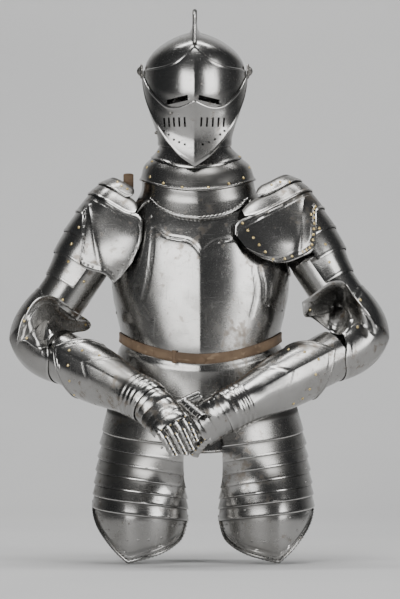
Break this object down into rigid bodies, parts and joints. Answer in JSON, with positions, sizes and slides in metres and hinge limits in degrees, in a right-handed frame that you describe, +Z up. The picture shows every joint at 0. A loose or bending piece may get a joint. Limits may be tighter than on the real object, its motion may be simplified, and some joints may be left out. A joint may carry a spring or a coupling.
{
  "type": "corselet armour (half armour, worn-shaped with no wearer)",
  "caption": "Half armour with close helmet, collar, breastplate and backplate, pauldrons, arms, gauntlets, fauld and tassets, shaped as worn and hollow.",
  "frame": {"origin": "the wearer's throat at the middle of the collar, where the wearer holds the armour up", "axes": "+Z up, front of the armour towards -Y, +X towards the viewer's right"},
  "size_m": [0.7547, 0.4346, 1.0974],
  "materials": {
    "steel": "polished and slightly dulled plate",
    "dark_steel": "worn bolts and rivets",
    "leather": "dry tan strap leather"
  },
  "bodies": {
    "root": {"breastplate": "steel", "backplate": "steel", "waist_belt": "leather", "neck_lame_upper": "steel", "neck_lame_lower": "steel", "gorget_front": "steel", "gorget_back": "steel", "fauld_upper": "steel", "fauld_lower": "steel", "culet": "steel", "helmet_skull": "steel", "helmet_bevor": "steel", "helmet_pivot_left": "dark_steel", "helmet_pivot_right": "dark_steel", "upper_cannon_left": "steel", "lower_cannon_left": "steel", "couter_left": "steel", "gauntlet_cuff_left": "steel", "metacarpal_left": "steel", "fingers_left": "steel", "thumb_left": "steel", "shoulder_strap_left": "leather", "pauldron_left_top": "steel", "pauldron_left_lame": "steel", "pauldron_left_main": "steel", "pauldron_left_arm_upper": "steel", "pauldron_left_arm_lower": "steel", "pauldron_left_turned": "steel", "tasset_left_1": "steel", "tasset_left_2": "steel", "tasset_left_3": "steel", "tasset_left_4": "steel", "tasset_left_5": "steel", "tasset_left_6": "steel", "tasset_left_7": "steel", "tasset_left_8": "steel", "upper_cannon_right": "steel", "lower_cannon_right": "steel", "couter_right": "steel", "gauntlet_cuff_right": "steel", "metacarpal_right": "steel", "fingers_right": "steel", "thumb_right": "steel", "shoulder_strap_right": "leather", "pauldron_right_top": "steel", "pauldron_right_lame": "steel", "pauldron_right_main": "steel", "pauldron_right_arm_upper": "steel", "pauldron_right_arm_lower": "steel", "pauldron_right_turned": "steel", "tasset_right_1": "steel", "tasset_right_2": "steel", "tasset_right_3": "steel", "tasset_right_4": "steel", "tasset_right_5": "steel", "tasset_right_6": "steel", "tasset_right_7": "steel", "tasset_right_8": "steel"},
    "visor": {"helmet_visor": "steel"},
    "ventail": {"helmet_ventail": "steel"}
  },
  "joints": [
    {"name": "visor_tilt", "type": "hinge", "parent": "root", "child": "visor", "pos_m": [-0.0095, -0.005, 0.238], "axis": [-1, 0, 0], "range_deg": [0, 32]},
    {"name": "ventail_tilt", "type": "hinge", "parent": "visor", "child": "ventail", "pos_m": [-0.0095, -0.005, 0.238], "axis": [-1, 0, 0], "range_deg": [0, 32]}
  ]
}
